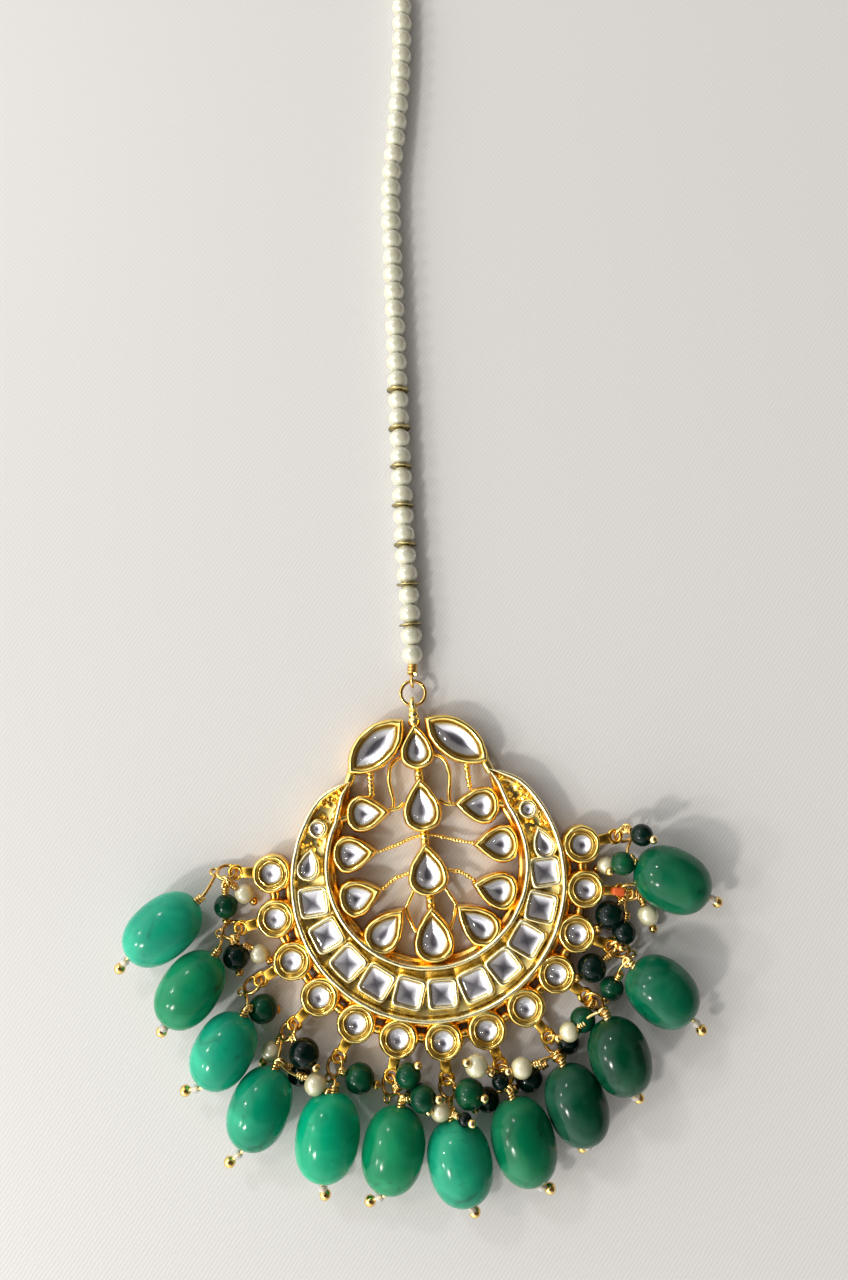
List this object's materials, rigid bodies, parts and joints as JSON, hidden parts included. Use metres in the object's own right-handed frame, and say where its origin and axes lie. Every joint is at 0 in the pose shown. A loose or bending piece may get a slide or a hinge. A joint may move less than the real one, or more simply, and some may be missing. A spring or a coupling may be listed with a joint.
{
  "type": "maang tikka, a hair-parting ornament of pearls and a kundan pendant",
  "caption": "Hair-parting ornament lying on its back: pearl string with a hair hook, pierced gilt crescent pendant set with foiled glass, and green stone drops.",
  "frame": {"origin": "the middle of the pendant's crescent, on its flat back", "axes": "+Y up the pearl string, +Z out of the front face, +X to the right seen from the front"},
  "size_m": [0.0762, 0.1766, 0.0085],
  "materials": {
    "cast_gold": "bright gold plating on a casting, rubbed paler on the rims",
    "gilt_wire": "gilt wire and pin heads",
    "foiled_glass": "clear cut glass over silver foil",
    "green_stone": "polished cloudy green stone, dark-veined",
    "pearl": "imitation pearl lustre"
  },
  "bodies": {
    "root": {"pendant_frame": "cast_gold", "stone_top": "foiled_glass", "stone_upper": "foiled_glass", "stone_middle": "foiled_glass", "stone_lower": "foiled_glass", "stone_petal_left_1": "foiled_glass", "stone_petal_left_2": "foiled_glass", "stone_petal_left_3": "foiled_glass", "stone_petal_left_4": "foiled_glass", "stone_petal_right_1": "foiled_glass", "stone_petal_right_2": "foiled_glass", "stone_petal_right_3": "foiled_glass", "stone_petal_right_4": "foiled_glass", "stone_leaf_left": "foiled_glass", "stone_leaf_right": "foiled_glass", "drop_1": "green_stone", "drop_2": "green_stone", "drop_3": "green_stone", "drop_4": "green_stone", "drop_5": "green_stone", "drop_6": "green_stone", "drop_7": "green_stone", "drop_8": "green_stone", "drop_9": "green_stone", "drop_10": "green_stone", "drop_11": "green_stone", "drop_12": "green_stone", "cluster_1": "gilt_wire", "cluster_2": "gilt_wire", "cluster_3": "gilt_wire", "cluster_4": "gilt_wire", "cluster_5": "gilt_wire", "cluster_6": "gilt_wire", "cluster_7": "gilt_wire", "cluster_8": "gilt_wire", "cluster_9": "gilt_wire", "cluster_10": "gilt_wire", "cluster_11": "gilt_wire", "cluster_12": "gilt_wire", "cluster_13": "gilt_wire", "jump_ring": "gilt_wire", "pearl_string": "pearl", "hair_hook": "gilt_wire"}
  },
  "joints": []
}
